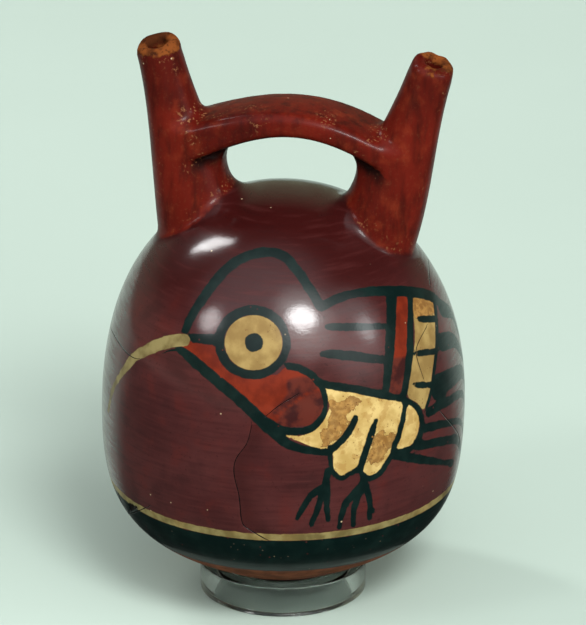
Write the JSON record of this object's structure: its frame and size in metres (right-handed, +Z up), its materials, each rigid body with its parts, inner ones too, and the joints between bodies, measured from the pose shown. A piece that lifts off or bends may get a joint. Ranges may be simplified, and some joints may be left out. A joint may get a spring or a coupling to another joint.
{
  "type": "double-spout bottle",
  "caption": "Round-bottomed pottery bottle with leaning tube spouts joined by an arched strap bridge, standing in a clear display ring.",
  "frame": {"origin": "middle of the display ring's underside, on the surface that it stands on", "axes": "+Z up along the body's axis; X through both spouts, with the farther-leaning spout at +X; -Y towards the painted front"},
  "size_m": [0.1126, 0.1126, 0.1796],
  "materials": {
    "slip_painted_clay": "fired clay with burnished slip paint: maroon body, brick red spouts, black and cream bands and a painted bird",
    "clear_acrylic": "clear polished acrylic"
  },
  "bodies": {
    "root": {"body": "slip_painted_clay", "left_spout": "slip_painted_clay", "right_spout": "slip_painted_clay", "bridge": "slip_painted_clay", "stand_ring": "clear_acrylic"}
  },
  "joints": []
}
